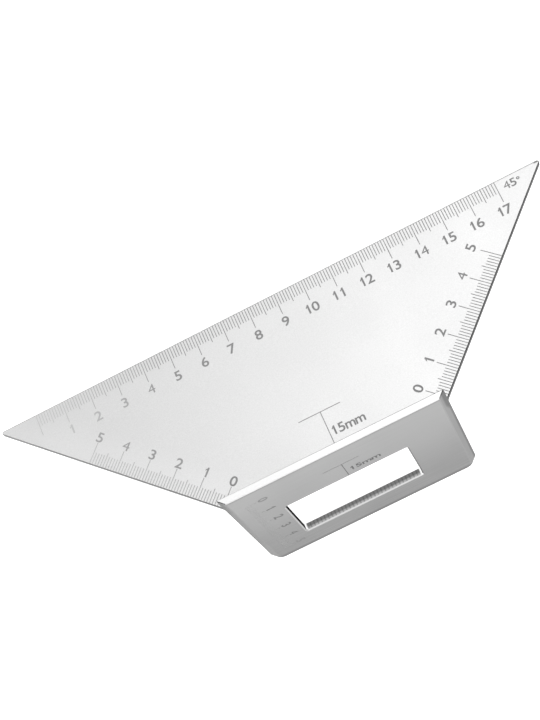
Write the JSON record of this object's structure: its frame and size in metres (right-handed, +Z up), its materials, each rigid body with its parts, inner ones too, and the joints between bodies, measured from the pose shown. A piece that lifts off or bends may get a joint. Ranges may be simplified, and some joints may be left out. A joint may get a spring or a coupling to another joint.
{
  "type": "carpenter square",
  "caption": "Mitre square in one piece: a flat trapezoid blade with ruled scales and 45 degree ends, and a fence with a window along its short side.",
  "frame": {"origin": "middle of the footprint, on the surface the square rests on", "axes": "+X along the long edge, towards the high end of its scale; +Y from the fence towards the long edge; +Z up. The blade falls towards +Y and the fence towards -Y, as the square comes to rest"},
  "size_m": [0.199, 0.087, 0.0507],
  "materials": {
    "anodised_aluminium": "fine bead-blasted and clear anodised"
  },
  "bodies": {
    "root": {"mitre_square": "anodised_aluminium"}
  },
  "joints": []
}
